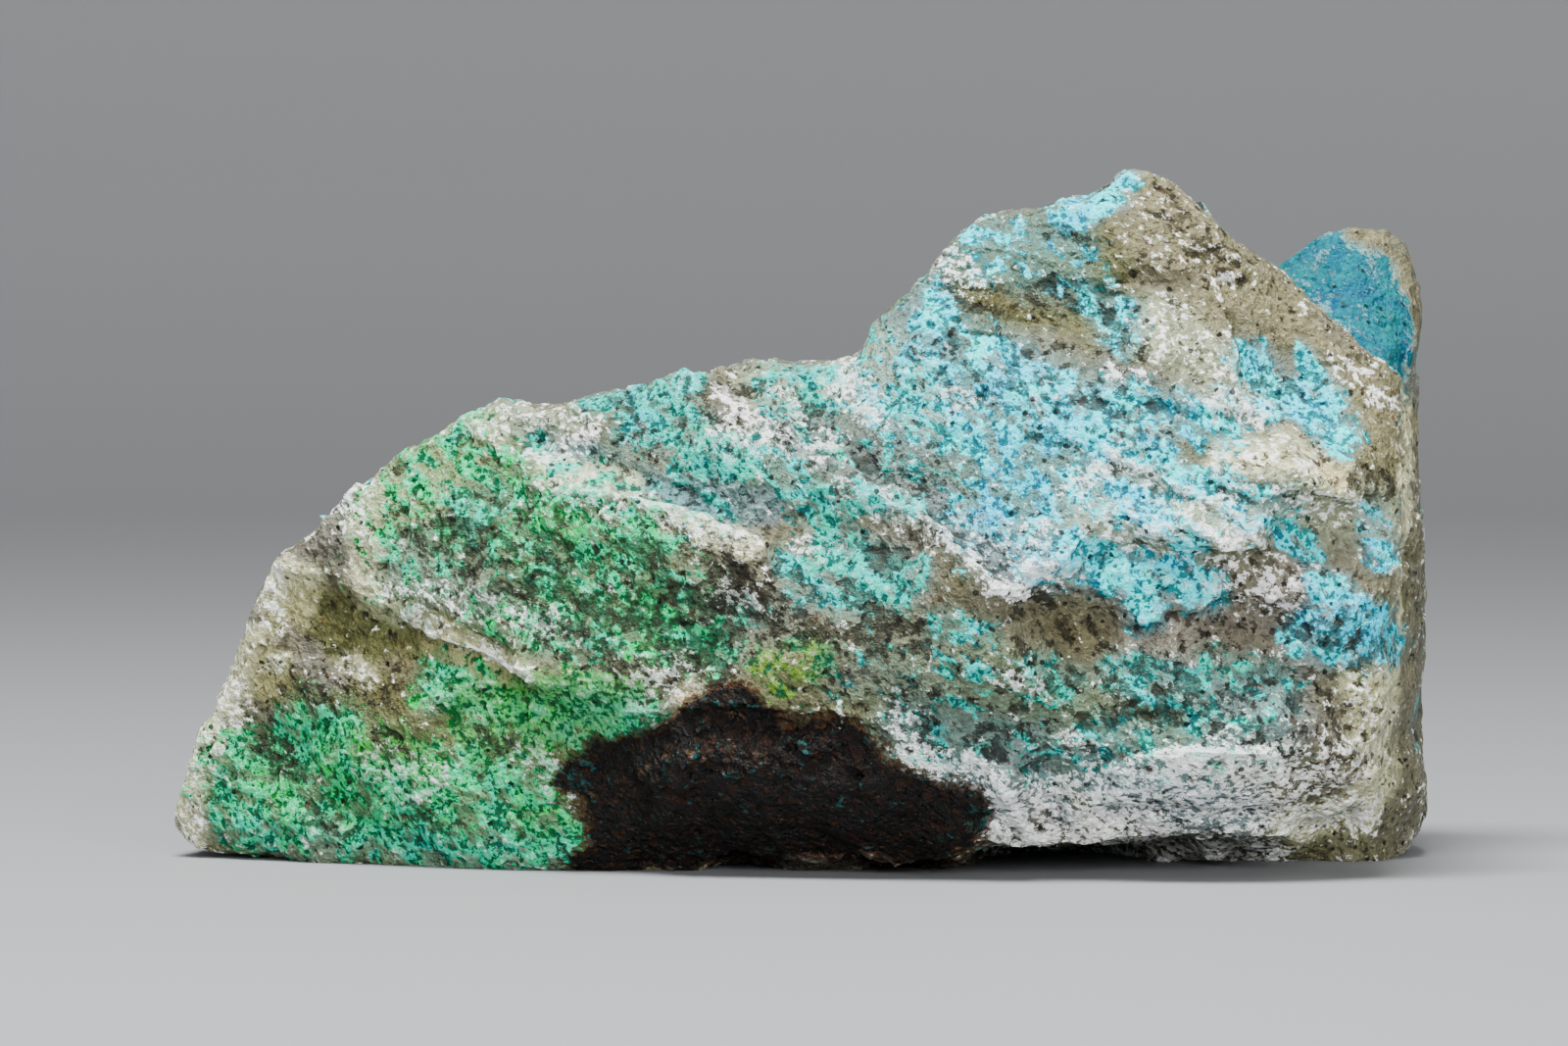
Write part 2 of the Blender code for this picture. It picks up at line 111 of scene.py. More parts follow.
# Where each thing lies on the front: (how dense, half width in points, the line it follows).
SPREAD = {
    "green": [
        (0.54, 62, [(445, 490), (520, 520), (600, 560)]),
        (0.45, 45, [(400, 520), (430, 580)]),
        (0.55, 40, [(560, 590), (640, 610), (700, 620)]),
        (0.85, 20, [(655, 535), (645, 575)]),
        (0.95, 16, [(662, 545), (678, 560)]),
        (0.45, 12, [(600, 495), (650, 508), (690, 530)]),
        (0.50, 40, [(620, 650), (720, 640)]),
        (0.75, 24, [(655, 625), (700, 650), (735, 655)]),
        (0.50, 30, [(500, 620), (570, 650)]),
        (0.95, 26, [(455, 700), (520, 730), (620, 720)]),
        (0.92, 30, [(560, 735), (610, 745), (640, 725)]),
        (0.72, 42, [(320, 760), (420, 800), (540, 800)]),
        (0.66, 40, [(250, 790), (300, 830), (450, 850), (560, 860)]),
        (0.66, 30, [(225, 800), (260, 850)]),
        (0.88, 20, [(300, 740), (350, 745)]),
        (0.55, 30, [(430, 460), (480, 440)]),
    ],
    "teal": [
        (0.85, 16, [(600, 410), (660, 405), (700, 390)]),
        (0.70, 22, [(640, 440), (700, 430), (720, 455)]),
        (0.88, 16, [(735, 450), (760, 480)]),
        (0.75, 22, [(700, 470), (760, 470)]),
        (0.60, 26, [(780, 470), (850, 520)]),
        (0.92, 14, [(850, 520), (845, 545)]),
        (0.90, 18, [(840, 560), (880, 590), (920, 590)]),
        (0.85, 14, [(800, 575), (825, 585)]),
        (0.55, 20, [(820, 606), (880, 612), (920, 608)]),
        (0.80, 14, [(890, 505), (940, 520)]),
        (0.55, 30, [(800, 400), (860, 400)]),
        (0.75, 14, [(810, 380), (860, 385)]),
        (0.45, 18, [(960, 640), (1000, 650)]),
        (0.24, 40, [(880, 680), (1000, 700), (1080, 720)]),
        (0.60, 22, [(1060, 690), (1090, 700)]),
        (0.70, 22, [(1140, 690), (1200, 700)]),
        (0.50, 26, [(1240, 690), (1300, 700)]),
        (0.26, 44, [(930, 740), (1060, 760)]),
        (0.34, 40, [(1120, 760), (1280, 740)]),
        (0.75, 12, [(545, 455), (585, 480)]),
        (0.40, 18, [(470, 520), (500, 510)]),
        (0.22, 24, [(760, 620), (800, 640)]),
        (0.45, 16, [(230, 850), (400, 866), (560, 874)]),
        (0.75, 26, [(845, 560), (920, 590)]),
        (0.45, 24, [(905, 345), (925, 410)]),
        (0.35, 24, [(610, 480), (680, 510), (740, 530)]),
        (0.35, 30, [(830, 440), (900, 480), (960, 500)]),
    ],
    "blue": [
        (0.62, 44, [(950, 365), (1060, 410), (1160, 440)]),
        (0.58, 50, [(920, 400), (1000, 440), (1060, 500)]),
        (0.30, 22, [(985, 262), (1060, 285), (1120, 300)]),
        (0.95, 15, [(1085, 228), (1120, 205), (1147, 182)]),
        (0.38, 22, [(1010, 240), (1100, 260)]),
        (0.62, 12, [(985, 232), (1005, 246)]),
        (0.60, 12, [(1100, 290), (1125, 330), (1140, 345)]),
        (0.70, 18, [(960, 300), (940, 330)]),
        (0.70, 20, [(990, 360), (1080, 395), (1130, 405)]),
        (0.62, 22, [(1150, 405), (1200, 420), (1250, 435)]),
        (0.88, 22, [(1060, 440), (1120, 450)]),
        (0.95, 16, [(1180, 470), (1220, 495), (1250, 490)]),
        (0.92, 18, [(1150, 590), (1170, 625)]),
        (0.88, 20, [(1160, 580), (1230, 600)]),
        (0.85, 24, [(1090, 560), (1140, 580)]),
        (0.70, 24, [(1100, 500), (1180, 520)]),
        (0.80, 16, [(1190, 530), (1220, 550)]),
        (0.80, 20, [(1270, 370), (1300, 410)]),
        (0.88, 18, [(1320, 400), (1370, 445)]),
        (0.80, 14, [(1330, 370), (1360, 400)]),
        (0.88, 18, [(1350, 600), (1400, 640)]),
        (0.70, 22, [(1330, 650), (1410, 660)]),
        (0.50, 14, [(1400, 525), (1412, 570)]),
        (0.72, 12, [(1310, 550), (1340, 570)]),
        (0.45, 24, [(1260, 520), (1300, 520)]),
        (0.58, 40, [(1000, 520), (1060, 550)]),
        (0.60, 20, [(1140, 320), (1150, 340)]),
    ],
    "moss": [
        (0.75, 26, [(790, 680), (830, 670)]),
        (0.60, 22, [(385, 755), (430, 772)]),
        (0.90, 18, [(470, 710), (560, 704), (650, 702)]),
        (0.85, 24, [(480, 745), (540, 750), (610, 740)]),
    ],
    "black": [
        (1.2, 42, [(640, 830), (760, 800), (860, 810), (940, 850)]),
        (1.2, 20, [(600, 790), (640, 770), (700, 755), (740, 745)]),
        (1.2, 15, [(700, 742), (742, 714)]),
        (1.2, 15, [(748, 714), (785, 742)]),
        (1.2, 22, [(780, 755), (860, 760), (885, 790)]),
        (1.2, 20, [(900, 800), (960, 820), (990, 830)]),
        (1.2, 20, [(620, 870), (700, 860), (800, 855), (980, 850)]),
        (1.2, 12, [(575, 795), (600, 800)]),
        (1.2, 12, [(590, 880), (640, 878)]),
    ],
    "pores": [
        (0.75, 14, [(441, 532), (470, 540), (500, 549)]),
        (0.55, 14, [(475, 582), (505, 600), (530, 608)]),
        (0.60, 16, [(420, 552), (500, 560), (560, 566)]),
        (0.90, 14, [(655, 560), (672, 585), (690, 610)]),
        (0.85, 16, [(575, 600), (600, 615), (615, 630)]),
        (0.80, 16, [(640, 630), (660, 640), (680, 650)]),
        (0.65, 20, [(700, 562), (740, 580), (790, 594)]),
        (0.70, 18, [(705, 590), (720, 625), (750, 640)]),
        (0.85, 20, [(683, 660), (710, 675), (740, 690)]),
        (0.70, 14, [(740, 610), (790, 622)]),
        (0.48, 40, [(600, 600), (700, 625), (780, 625)]),
        (0.35, 40, [(440, 540), (520, 560), (600, 580)]),
        (0.35, 40, [(640, 400), (740, 420), (820, 440)]),
        (0.55, 26, [(560, 640), (620, 665), (680, 672)]),
        (0.90, 10, [(890, 562), (924, 568)]),
        (0.90, 8, [(903, 570), (908, 582)]),
        (0.80, 15, [(870, 600), (890, 620), (910, 632)]),
        (0.60, 24, [(800, 640), (870, 645), (930, 655)]),
        # dark pores in the hollow under the ledge, the stone's own pores and painted shade
        (0.50, 13, [(1062, 608), (1080, 625), (1092, 640)]),
        (0.20, 26, [(1040, 650), (1090, 672), (1160, 680)]),
        (0.25, 24, [(990, 300), (1060, 292), (1150, 318)]),
        (0.70, 12, [(980, 312), (1004, 318)]),
        (0.70, 12, [(1136, 335), (1160, 352)]),
        (0.55, 12, [(1080, 240), (1108, 246)]),
        (0.50, 24, [(1190, 215), (1250, 262)]),
        (0.15, 24, [(1150, 805), (1220, 818), (1270, 822)]),
        (0.70, 12, [(1290, 392), (1312, 402)]),
        (0.75, 14, [(1388, 492), (1412, 498)]),
        (0.30, 12, [(640, 515), (700, 535), (770, 556)]),
        (0.12, 16, [(1250, 475), (1310, 460), (1350, 485)]),
        (0.25, 22, [(1380, 690), (1395, 760)]),
        (0.30, 30, [(800, 430), (880, 480), (960, 520), (1030, 560)]),
        (0.35, 40, [(960, 360), (1060, 400), (1150, 430)]),
        (0.65, 18, [(1330, 645), (1370, 650), (1400, 668)]),
        (0.20, 24, [(1200, 600), (1260, 620), (1320, 600)]),
        (0.26, 24, [(1240, 650), (1290, 680), (1340, 690)]),
        (0.36, 40, [(1210, 715), (1290, 735), (1350, 745)]),
        (0.36, 40, [(880, 700), (960, 740), (1040, 760)]),
        (0.45, 14, [(945, 545), (985, 560)]),
        (0.45, 22, [(1000, 380), (1030, 400), (1050, 430)]),
        (0.55, 12, [(880, 478), (905, 488)]),
        (0.30, 18, [(640, 440), (690, 430), (720, 440)]),
        (0.20, 20, [(640, 470), (700, 490), (760, 515)]),
        (0.70, 14, [(265, 765), (285, 775), (300, 785)]),
        (0.35, 16, [(300, 694), (330, 704), (400, 708)]),
        (0.50, 14, [(395, 745), (400, 765)]),
        (0.70, 12, [(493, 752), (520, 762)]),
        (0.60, 12, [(420, 820), (436, 840)]),
        (0.50, 12, [(300, 825), (345, 845)]),
        (0.60, 12, [(1070, 805), (1085, 835)]),
        (0.50, 10, [(1370, 768), (1410, 778)]),
        (0.45, 40, [(1060, 700), (1130, 720), (1190, 712)]),
        (0.45, 12, [(383, 470), (410, 478)]),
    ],
    "frost": [
        (0.90, 22, [(1020, 845), (1060, 852), (1120, 845), (1180, 840)]),
        (0.85, 22, [(1192, 782), (1240, 776), (1300, 778)]),
        (0.78, 24, [(1060, 815), (1110, 808), (1150, 800)]),
        (0.72, 26, [(1160, 815), (1240, 818), (1300, 826)]),
        (0.80, 14, [(1020, 858), (1100, 866), (1200, 872), (1300, 868)]),
        (0.70, 8, [(420, 632), (446, 652)]),
        (0.60, 8, [(483, 660), (536, 692)]),
        (0.40, 9, [(280, 674)]),
        (0.40, 10, [(352, 676), (370, 690)]),
        (0.55, 10, [(200, 830), (192, 860)]),
        (0.70, 18, [(1290, 838), (1390, 830)]),
        (0.60, 26, [(1280, 790), (1370, 780)]),
        (0.85, 12, [(985, 780), (1010, 800), (1040, 830)]),
        (0.70, 18, [(930, 765), (960, 780)]),
        (0.50, 26, [(1140, 535), (1200, 530), (1270, 545)]),
        (0.50, 16, [(1160, 480), (1210, 500), (1250, 515)]),
        (0.60, 16, [(1090, 500), (1130, 470), (1150, 470)]),
        (0.70, 14, [(1045, 585), (1100, 572)]),
        (0.90, 9, [(1018, 598), (1040, 604)]),
        (0.90, 18, [(862, 385), (880, 400), (890, 412)]),
        (0.70, 12, [(818, 458), (858, 454)]),
        (0.55, 20, [(740, 440), (790, 450)]),
        (0.80, 9, [(738, 405), (752, 420), (774, 435)]),
        (0.80, 8, [(798, 396), (810, 414), (820, 430)]),
        (0.25, 20, [(860, 500), (920, 520), (960, 550)]),
        (0.60, 10, [(979, 530), (997, 538)]),
        (0.40, 24, [(1010, 560), (1060, 545)]),
        (0.70, 16, [(1243, 415), (1285, 420)]),
        (0.70, 10, [(1138, 378), (1160, 384)]),
        (0.60, 12, [(970, 400), (990, 405)]),
        (0.60, 16, [(960, 270), (985, 282)]),
        (0.60, 10, [(1375, 376), (1394, 380)]),
        (0.60, 10, [(1403, 402), (1414, 410)]),
        (0.65, 9, [(1245, 278), (1258, 284)]),
        (0.30, 26, [(1190, 330), (1230, 370)]),
        (0.45, 30, [(1240, 580), (1310, 600)]),
        (0.40, 18, [(1270, 505), (1320, 520), (1390, 520)]),
        (0.35, 14, [(1245, 470), (1300, 450), (1340, 480)]),
        (0.35, 20, [(1385, 700), (1395, 760)]),
        (0.30, 20, [(480, 430), (540, 432), (580, 425)]),
        (0.65, 14, [(545, 470), (580, 455), (600, 440)]),
        (0.50, 14, [(345, 515), (368, 530), (372, 500)]),
        (0.35, 18, [(560, 500), (620, 510), (660, 525)]),
        (0.45, 13, [(660, 522), (710, 538), (765, 553)]),
        (0.15, 24, [(1165, 205), (1200, 240), (1245, 290)]),
        (0.70, 8, [(420, 630), (445, 648)]),
        (0.60, 9, [(277, 583), (276, 615), (290, 640)]),
        (0.45, 16, [(430, 600), (500, 625), (560, 640)]),
        (0.55, 10, [(395, 600), (420, 605)]),
        (0.55, 12, [(740, 598), (765, 606)]),
        (0.50, 12, [(815, 555), (845, 562)]),
        (0.40, 22, [(660, 700), (690, 690)]),
        (0.45, 18, [(240, 700), (225, 740), (205, 780)]),
        (0.45, 20, [(380, 780), (440, 800)]),
        (0.40, 20, [(540, 770), (580, 800)]),
        (0.50, 14, [(915, 728), (930, 735)]),
        (0.50, 12, [(1020, 690), (1055, 700)]),
        (0.45, 14, [(1090, 755), (1110, 765)]),
    ],
}

# The lobe that shows past the ridge on the right: its blue face and its bare cap.
LOBE_BLUE = [(0.92, 52, [(1330, 262), (1380, 290), (1405, 340)]), (1.0, 16, [(1424, 330), (1428, 360)])]
LOBE_CAP = [(1.4, 15, [(1384, 230), (1408, 240), (1432, 262), (1450, 300)]),
            (1.4, 8, [(1450, 300), (1452, 380), (1450, 460)])]

# Thin crests on the front: (height in mm, half width in points, the line it follows).
CRESTS = [
    (0.12, 7, [(395, 619), (420, 627), (437, 644)]),
    (0.14, 6, [(462, 650), (491, 661), (516, 673), (541, 690)]),
    (0.10, 5, [(280, 580), (326, 584)]),
    (0.14, 6, [(587, 419), (599, 430), (607, 453), (620, 469)]),
    (0.16, 6, [(545, 490), (570, 488), (607, 498), (641, 509), (682, 519), (712, 527), (741, 534),
               (782, 550)]),
    (0.12, 5, [(428, 715), (495, 698), (532, 700), (570, 713), (587, 723)]),
    (0.14, 5, [(726, 373), (738, 384), (756, 389), (767, 393)]),
    (0.16, 6, [(736, 404), (751, 419), (774, 435)]),
    (0.14, 5, [(800, 399), (810, 414), (820, 430)]),
    (0.16, 6, [(859, 460), (874, 478), (885, 496), (900, 489), (926, 499), (946, 525), (977, 560)]),
    (0.14, 6, [(977, 560), (1000, 578), (1018, 598)]),
    (0.20, 7, [(1018, 598), (1041, 604), (1036, 580), (1070, 576), (1100, 570), (1128, 545)]),
    (0.22, 6, [(1130, 461), (1160, 475), (1190, 490), (1220, 505), (1250, 517), (1275, 540),
               (1288, 556)]),
    (0.16, 6, [(1128, 545), (1152, 545), (1200, 540), (1212, 556), (1230, 590), (1242, 606)]),
    (0.16, 6, [(1238, 455), (1262, 480), (1296, 490), (1340, 498)]),
    (0.12, 5, [(1150, 370), (1200, 396), (1250, 398), (1272, 408)]),
    (0.14, 5, [(1256, 255), (1262, 300), (1280, 345)]),
    (0.16, 7, [(1000, 770), (1020, 800), (1045, 842)]),
    (0.14, 6, [(1150, 668), (1168, 650)]),
    (0.14, 7, [(1305, 283), (1340, 318), (1380, 352), (1428, 386)]),
    (0.12, 6, [(1190, 760), (1240, 768), (1300, 764)]),
    (0.12, 6, [(1310, 455), (1345, 450), (1380, 478)]),
]

# Crisp steps on the front, seen from left to right along the line: (how far out in mm just above
# it, just below it, how many points the two reach, the line).
STEPS = [
    (-0.22, 0.22, 16, 30, [(545, 490), (607, 498), (662, 511), (712, 527), (753, 542), (782, 550)]),
    (0.12, -0.10, 26, 14, [(600, 432), (620, 469), (660, 484), (710, 500), (760, 530)]),
    (0.16, -0.18, 26, 20, [(395, 622), (437, 648), (491, 664), (541, 694)]),
    (-0.20, 0.16, 16, 26, [(859, 460), (885, 496), (926, 499), (946, 525), (977, 560), (1018, 598)]),
    (0.26, -0.24, 34, 20, [(1150, 637), (1172, 640), (1192, 622), (1226, 626), (1242, 606)]),
    (0.30, -0.26, 26, 18, [(1205, 535), (1228, 552), (1250, 562), (1289, 558)]),
    (0.14, -0.16, 22, 16, [(1035, 612), (1075, 596), (1108, 600), (1145, 612)]),
    (0.18, -0.14, 30, 18, [(1238, 494), (1280, 508), (1330, 500), (1380, 512), (1410, 502)]),
    (0.08, -0.12, 30, 20, [(960, 288), (1010, 292), (1080, 284), (1160, 300)]),
    (0.22, -0.22, 30, 18, [(1160, 405), (1210, 418), (1262, 425), (1290, 430)]),
    (-0.26, 0.20, 18, 20, [(1240, 285), (1256, 330), (1262, 380), (1275, 420)]),
    (0.20, -0.22, 30, 26, [(640, 730), (700, 722), (760, 724), (860, 728), (912, 750)]),
    (0.24, -0.24, 24, 14, [(1020, 858), (1080, 866), (1180, 852), (1310, 850)]),
    (0.12, -0.12, 26, 24, [(1044, 620), (1090, 612), (1140, 622)]),
    (-0.20, 0.20, 16, 22, [(1000, 768), (1040, 790), (1110, 786), (1190, 762), (1300, 764)]),
]

# Colours of the bare stone where it isn't plain quartz, and in a few places painted shade and glow:
# (colour name, strength, half width, line).
TINTS = [
    ("grey", 0.9, 60, [(1060, 640), (1200, 660), (1330, 640)]),
    ("grey", 0.8, 40, [(760, 640), (860, 660), (960, 660)]),
    ("mauve", 0.9, 24, [(800, 430), (870, 470), (950, 510), (1040, 575)]),
    ("mauve", 0.7, 24, [(1000, 540), (1060, 580)]),
    ("slate", 0.95, 16, [(523, 432), (570, 445), (610, 475), (660, 500), (735, 528)]),
    ("slate", 0.8, 20, [(690, 500), (780, 520)]),
    ("slate", 0.4, 34, [(930, 740), (1060, 770), (1180, 770)]),
    ("slate", 0.4, 40, [(1140, 760), (1300, 720)]),
    ("slate", 0.8, 14, [(1060, 790), (1085, 830)]),
    ("slate", 0.9, 30, [(1130, 800), (1200, 815), (1270, 825)]),
    ("slate", 0.7, 24, [(985, 790), (1030, 830)]),
    ("slate", 0.5, 40, [(900, 300), (930, 380)]),
    ("olive", 0.9, 40, [(310, 620), (400, 660), (500, 680)]),
    ("olive", 0.8, 30, [(300, 690), (400, 700)]),
    ("brown", 0.4, 24, [(290, 700), (360, 715), (410, 700)]),
    # painted shade: a darker olive and umber band just under the brow step
    ("olive", 0.95, 36, [(985, 305), (1080, 290), (1165, 335)]),
    ("umber", 0.5, 16, [(985, 312), (1060, 300), (1120, 310)]),
    # umber in the hollow under the ledge, the stone's own colour and painted shade
    ("umber", 0.5, 20, [(1065, 615), (1090, 640), (1120, 655)]),
    ("olive", 0.7, 40, [(980, 245), (1060, 255), (1130, 265)]),
    ("olive", 0.8, 60, [(240, 800), (400, 790), (600, 780)]),
    ("olive", 0.5, 40, [(1010, 690), (1100, 720), (1190, 740)]),
    ("brown", 0.4, 30, [(1250, 660), (1300, 680)]),
    ("brown", 0.5, 30, [(640, 620), (720, 650)]),
    ("umber", 0.5, 30, [(790, 640), (880, 665), (980, 690)]),
    ("brown", 0.4, 34, [(560, 620), (620, 640)]),
    ("olive", 0.7, 60, [(440, 480), (560, 560), (640, 600)]),
    ("olive", 0.4, 40, [(900, 650), (1000, 660), (1100, 640)]),
    ("brown", 0.7, 20, [(470, 540), (530, 550)]),
    ("brown", 0.8, 20, [(270, 770), (300, 780)]),
    ("tan", 0.9, 34, [(1170, 190), (1240, 260), (1330, 350), (1420, 440)]),
    ("tan", 0.9, 24, [(1380, 236), (1430, 262), (1447, 330)]),
    ("tan", 0.6, 20, [(1160, 240), (1240, 330)]),
    ("pale", 0.8, 30, [(1180, 330), (1230, 370), (1260, 400)]),
    ("pale", 0.7, 24, [(900, 350), (930, 400), (960, 430)]),
    ("pale", 0.7, 26, [(480, 430), (570, 425)]),
    ("pale", 0.6, 30, [(770, 400), (880, 380)]),
    ("pale", 0.8, 30, [(1110, 530), (1200, 530), (1270, 540)]),
    ("pale", 0.6, 26, [(1160, 460), (1200, 500)]),
    ("cream", 0.9, 16, [(560, 475), (640, 495)]),
    ("cream", 0.8, 13, [(655, 522), (710, 540), (765, 556)]),
    ("cream", 0.95, 20, [(1250, 470), (1310, 458), (1360, 485)]),
    ("pale", 0.8, 30, [(1330, 535), (1400, 520)]),
    ("olive", 0.6, 7, [(1316, 452), (1322, 466)]),
    ("umber", 0.8, 5, [(1262, 464), (1268, 470)]),
    ("pale", 0.6, 10, [(1286, 480), (1340, 492)]),
    ("cream", 0.9, 22, [(285, 590), (300, 620)]),
    ("cream", 0.7, 18, [(385, 500), (370, 560), (380, 600)]),
    # painted glow: cream where light shines through the thin edge at the lower right
    ("cream", 0.9, 22, [(1395, 690), (1400, 760)]),
    ("wheat", 0.5, 22, [(1395, 690), (1400, 760)]),
    # painted glow: cream along the thin rim of the lower right corner, where light shines through
    ("cream", 0.9, 18, [(1320, 845), (1390, 825), (1410, 780)]),
    ("shade", 0.7, 13, [(1458, 440), (1460, 600), (1462, 760), (1455, 850)]),
    ("cream", 0.8, 4, [(1432, 400), (1434, 480), (1430, 560), (1424, 680), (1418, 737), (1412, 770)]),
    ("cream", 0.7, 18, [(190, 850), (192, 800), (225, 730), (262, 650)]),
    ("wheat", 0.8, 20, [(270, 690), (290, 650), (310, 600)]),
    ("wheat", 0.9, 16, [(440, 650), (490, 676), (536, 702)]),
    ("cream", 0.5, 8, [(395, 619), (437, 644), (491, 661), (541, 690)]),
    ("cream", 0.6, 12, [(278, 584), (300, 590), (326, 592)]),
    ("mauve", 0.6, 16, [(290, 650), (335, 692)]),
    ("cream", 0.7, 10, [(280, 674)]),
    ("cream", 0.5, 12, [(352, 676), (372, 690)]),
    ("tan", 0.8, 12, [(396, 676), (414, 684)]),
    ("wheat", 0.6, 30, [(400, 520), (440, 470), (490, 450)]),
    ("cream", 0.7, 16, [(700, 710), (715, 718)]),
    ("ochre", 0.3, 12, [(1355, 475), (1368, 488)]),
    ("ochre", 0.25, 10, [(700, 712), (712, 720)]),
]

# Colours of the bare stone and of what lies on it, as sRGB values. The deep crust colours are darker
# copies of the crusts, laid in hollows as painted shade and also as the crusts' own darker tone.
COLOURS = {
    "quartz": (0.378, 0.369, 0.293),
    "olive": (0.317, 0.325, 0.172),
    "grey": (0.407, 0.389, 0.345),
    "mauve": (0.403, 0.386, 0.368),
    "brown": (0.244, 0.211, 0.133),
    "umber": (0.310, 0.271, 0.184),
    "slate": (0.365, 0.443, 0.461),
    "tan": (0.434, 0.417, 0.305),
    "wheat": (0.547, 0.538, 0.353),
    "shade": (0.339, 0.335, 0.280),
    "pale": (0.540, 0.566, 0.459),
    "cream": (0.738, 0.738, 0.588),
    "ochre": (0.610, 0.408, 0.080),
    "frost": (0.954, 0.965, 0.954),
    "blue": (0.0, 0.765, 0.860),
    "blue_deep": (0.0, 0.365, 0.422),
    "lobe": (0.0, 0.295, 0.380),
    "teal": (0.0, 0.680, 0.654),
    "teal_deep": (0.0, 0.295, 0.295),
    "green": (0.0, 0.699, 0.502),
    "green_deep": (0.0, 0.291, 0.173),
    "moss": (0.340, 0.463, 0.118),
    "black": (0.018, 0.015, 0.012),
    "rust": (0.264, 0.132, 0.015),
    "pore": (0.070, 0.053, 0.029),
}


def linear(name):
    """A colour of the list as the linear values that the shaders need."""
    return tuple(((c + 0.055) / 1.055) ** 2.4 if c > 0.04045 else c / 12.92 for c in COLOURS[name])


# ---------------------------------------------------------------- the fine surface

def wobble(points, size, shift):
    """A smooth vector field, one vector for each point."""
    out = np.empty(points.shape)
    offset = Vector((shift, shift * 0.7, shift * 1.3))
    for i, p in enumerate(points):
        out[i] = noise.noise_vector(Vector(p) / size + offset)
    return out


def chips(points, size, shift, steep):
    """Flat chips, each tilted its own way."""
    out = np.empty(len(points))
    offset = Vector((shift, shift, shift))
    for i, p in enumerate(points):
        spot = Vector(p) / size + offset
        middle = noise.voronoi(spot)[1][0]
        tilt = noise.cell_vector(middle * 91.7) * 2.0 - Vector((1.0, 1.0, 1.0))
        out[i] = tilt.dot(spot - middle) * size * steep
    return out


def field(points, size, shift, rounds=3):
    """A fractal field from about -1 to 1."""
    out = np.empty(len(points))
    offset = Vector((shift, shift, shift))
    for i, p in enumerate(points):
        out[i] = noise.fractal(Vector(p) / size + offset, 1.0, 2.1, rounds)
    return out


def points_of(mesh):
    """The places and the normals of a mesh's points."""
    co = np.empty(len(mesh.vertices) * 3)
    no = np.empty(len(mesh.vertices) * 3)
    mesh.vertices.foreach_get("co", co)
    mesh.vertices.foreach_get("normal", no)
    return co.reshape(-1, 3), no.reshape(-1, 3)


def settle(item):
    """Replaces the item's mesh by what its modifiers make of it."""
    graph = bpy.context.evaluated_depsgraph_get()
    made = bpy.data.meshes.new_from_object(item.evaluated_get(graph))
    item.modifiers.clear()
    item.data = made


def evened(mesh, values, rounds):
    """Values on the points of a mesh, averaged with their neighbours some rounds over."""
    ends = np.empty(len(mesh.edges) * 2, dtype=np.int64)
    mesh.edges.foreach_get("vertices", ends)
    a, b = ends.reshape(-1, 2).T
    count = np.bincount(a, minlength=len(values)) + np.bincount(b, minlength=len(values))
    count = np.maximum(count, 1)[:, None]
    flat = values.ndim == 1
    values = values[:, None] if flat else values
    for _ in range(rounds):
        total = np.zeros_like(values)
        for k in range(values.shape[1]):
            total[:, k] = np.bincount(a, values[b, k], len(values))
            total[:, k] += np.bincount(b, values[a, k], len(values))
        values = (values + total / count) / 2.0
    return values[:, 0] if flat else values


def stone_surface():
    """An even fine mesh in the solid's form, in mm."""
    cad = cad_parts["specimen_stone"]
    mesh = cad.data.copy()
    mesh.transform(cad.matrix_world)
    co, _ = points_of(mesh)
    mesh.vertices.foreach_set("co", (co * 1000.0).ravel())
    item = bpy.data.objects.new("stone_surface", mesh)
    bpy.context.scene.collection.objects.link(item)
    even = item.modifiers.new("even", "REMESH")
    even.mode = "VOXEL"
    even.voxel_size = CELL * 1.0
    settle(item)
    refine_front(item.data)
    return item


def refine_front(mesh):
    """Halves the spacing of the points on the side with the crusts."""
    body = bmesh.new()
    body.from_mesh(mesh)
    body.normal_update()
    front = [f for f in body.faces if f.normal.y < 0.05 and f.calc_center_median().y + MIDDLE[1] < 17.0]
    edges = list({e for f in front for e in f.edges})
    bmesh.ops.subdivide_edges(body, edges=edges, cuts=1, use_grid_fill=True)
    bmesh.ops.triangulate(body, faces=body.faces)
    body.to_mesh(mesh)
    body.free()


def front_share(co, no):
    """1 where the stone faces the front, 0 on its other sides."""
    return soft(-no[:, 1], -0.1, 0.3) * soft(-(co[:, 1] + MIDDLE[1]), -24.0, -17.0)


def front_relief(co, no):
    """Crests and steps on the front, in mm."""
    u, v = seen_at(co)
    waver = wobble(co, 0.9, 57.0)
    u = u + 5.0 * waver[:, 0]
    v = v + 5.0 * waver[:, 2]
    height = np.zeros(u.shape)
    for most, width, path in CRESTS:
        height += most * np.exp(-(from_line(u, v, path) / width) ** 2)
    for upper, lower, reach_up, reach_down, path in STEPS:
        away = above_line(u, v, path)
        over = upper * np.exp(-np.maximum(away, 0.0) / reach_up)
        under = lower * np.exp(-np.maximum(-away, 0.0) / reach_down)
        mix = soft(away, -5.0, 5.0)
        height += (over * mix + under * (1.0 - mix)) * past_ends(u, v, path, 14.0)
    return height * front_share(co, no)


